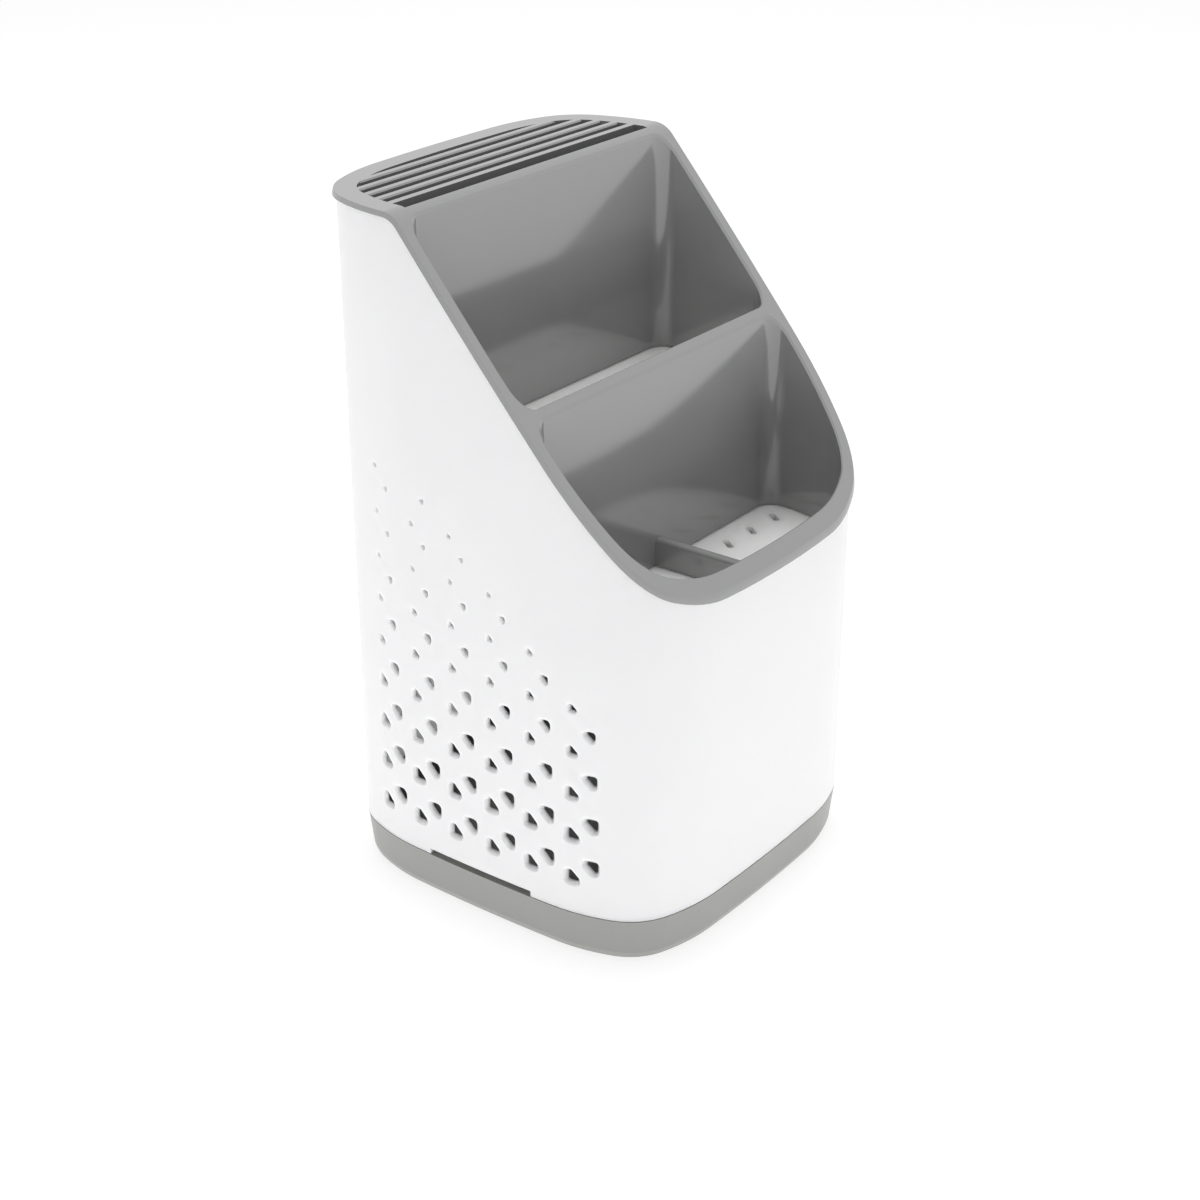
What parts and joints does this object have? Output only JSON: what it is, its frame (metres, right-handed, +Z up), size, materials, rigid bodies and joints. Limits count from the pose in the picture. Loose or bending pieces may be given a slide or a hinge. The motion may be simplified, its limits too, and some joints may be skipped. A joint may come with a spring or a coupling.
{
  "type": "cutlery drainer",
  "caption": "Free-standing cutlery drainer: vented upright shell with a sloping top, lift-out insert with wells and a knife grille, perforated deck and drip tray.",
  "frame": {"origin": "middle of the footprint on the surface that the drainer stands on", "axes": "+Z up, -Y towards the low front, +X to the right as seen from the front"},
  "size_m": [0.1192, 0.1194, 0.201],
  "materials": {
    "tray_grey": "satin moulded grey",
    "shell_white": "smooth moulded white",
    "deck_white": "smooth moulded white",
    "insert_grey": "smooth moulded grey"
  },
  "bodies": {
    "tray": {"drip_tray": "tray_grey"},
    "shell": {"outer_body": "shell_white"},
    "deck": {"drain_deck": "deck_white"},
    "insert": {"insert": "insert_grey"}
  },
  "joints": [
    {"name": "tray_release", "type": "slide", "parent": "tray", "child": "shell", "axis": [0, 0, 1], "range_m": [0, 0.02]},
    {"name": "deck_lift", "type": "slide", "parent": "shell", "child": "deck", "axis": [0, 0, 1], "range_m": [0, 0.11]},
    {"name": "insert_lift", "type": "slide", "parent": "deck", "child": "insert", "axis": [0, 0, 1], "range_m": [0, 0.11]}
  ]
}
